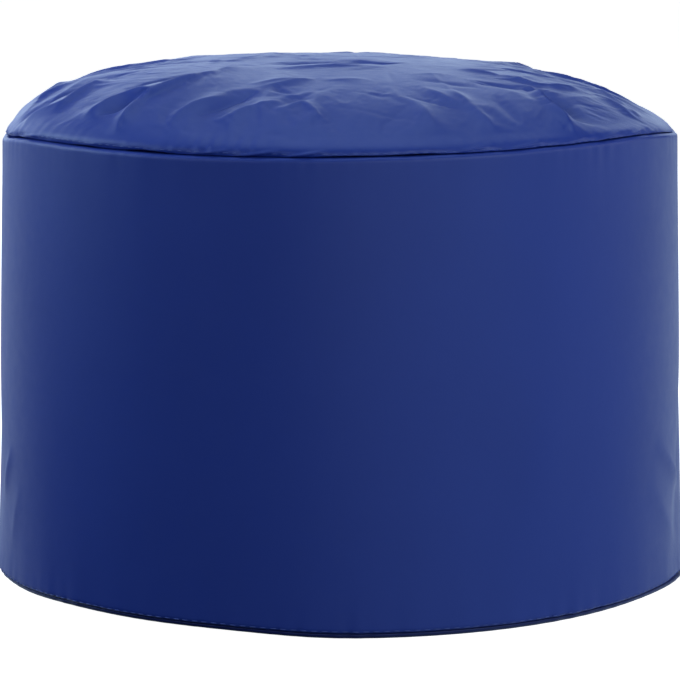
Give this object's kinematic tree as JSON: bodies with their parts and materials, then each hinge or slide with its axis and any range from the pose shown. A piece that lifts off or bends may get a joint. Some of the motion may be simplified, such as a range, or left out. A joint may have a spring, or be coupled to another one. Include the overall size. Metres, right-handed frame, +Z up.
{
  "type": "bean bag footstool",
  "caption": "Round bead-filled footstool with a soft crowned top, a straight sewn side band and a flat round base, in plain coated woven cloth.",
  "frame": {"origin": "middle of the base, on the floor", "axes": "+Z up through the middle of the stool, -Y towards the front, +X to the right seen from the front"},
  "size_m": [0.5132, 0.5132, 0.3809],
  "materials": {
    "cover_cloth": "royal blue nylon cloth in a close plain weave, with a soft semi-gloss coating",
    "thread": "polyester sewing thread in the colour of the cloth"
  },
  "bodies": {
    "root": {"top_panel": "cover_cloth", "side_band": "cover_cloth", "base_panel": "cover_cloth"}
  },
  "joints": []
}
